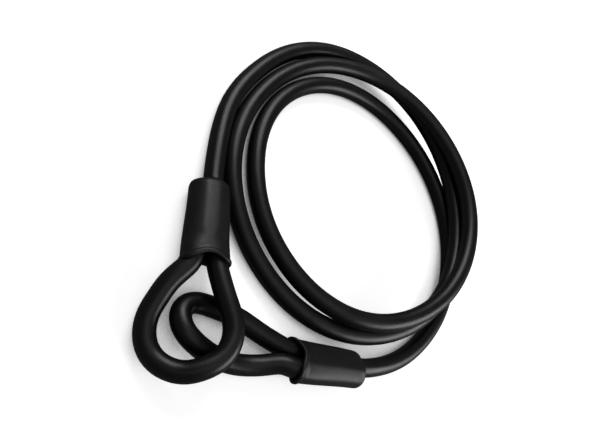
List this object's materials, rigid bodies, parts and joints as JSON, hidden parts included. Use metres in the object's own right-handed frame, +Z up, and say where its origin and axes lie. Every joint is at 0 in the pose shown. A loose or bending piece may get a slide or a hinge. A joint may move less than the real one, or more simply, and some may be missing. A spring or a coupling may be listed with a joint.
{
  "type": "looped security cable",
  "caption": "Black jacketed steel security cable in a loose coil, each end doubled back into an eye and closed by a moulded sleeve over a crimped ferrule.",
  "frame": {"origin": "middle of the whole bundle's footprint, on the floor it rests on", "axes": "+Z up from the floor, +Y from the two eyes towards the far side of the coil, +X across the coil"},
  "size_m": [0.239, 0.2962, 0.0368],
  "materials": {
    "jacket": "semi-gloss",
    "sleeve": "satin",
    "rope": "bright drawn wire",
    "ferrule": "satin"
  },
  "bodies": {
    "root": {"coil_jacket": "jacket", "eye_a_jacket": "jacket", "eye_b_jacket": "jacket", "core_strand": "rope", "outer_strand_1": "rope", "outer_strand_2": "rope", "outer_strand_3": "rope", "outer_strand_4": "rope", "outer_strand_5": "rope", "outer_strand_6": "rope", "ferrule_a": "ferrule", "ferrule_b": "ferrule", "sleeve_a": "sleeve", "sleeve_b": "sleeve"}
  },
  "joints": []
}
